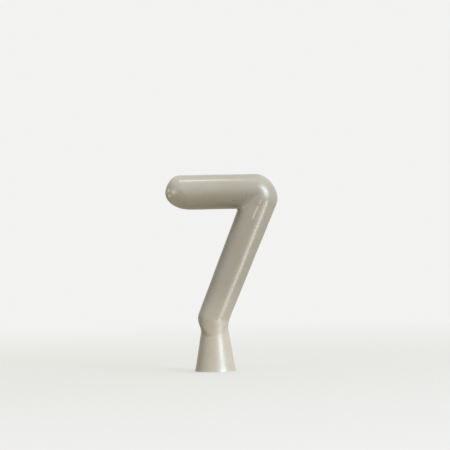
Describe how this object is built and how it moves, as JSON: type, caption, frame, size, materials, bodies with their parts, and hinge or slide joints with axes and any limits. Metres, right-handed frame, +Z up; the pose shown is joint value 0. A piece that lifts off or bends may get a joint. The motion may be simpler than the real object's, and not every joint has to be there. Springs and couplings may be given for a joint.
{
  "type": "number birthday candle",
  "caption": "Cake candle in the shape of the figure seven, cast in wax on a flared foot, with a pearl lacquer skin and a folding sparkling wick.",
  "frame": {"origin": "centre of the foot's flat underside", "axes": "+Z up from the foot to the bar, +X left to right across the figure seen from its front, -Y out of the front of the figure"},
  "size_m": [0.0383, 0.0152, 0.0667],
  "materials": {
    "pearl_lacquer": "gloss",
    "cast_wax": "satin",
    "cotton_wick": "matte",
    "spark_thread": "satin"
  },
  "bodies": {
    "candle": {"wax_body": "cast_wax", "pearl_coat": "pearl_lacquer", "wick_embedded": "cotton_wick", "spark_thread_embedded": "spark_thread", "wick_seal": "cast_wax"},
    "wick_end": {"wick_free_end": "cotton_wick", "spark_thread_free_end": "spark_thread"}
  },
  "joints": [
    {"name": "wick_fold", "type": "hinge", "parent": "candle", "child": "wick_end", "pos_m": [0.0006, 0.00371, 0.06615], "axis": [1, 0, 0], "range_deg": [0, 145]}
  ]
}
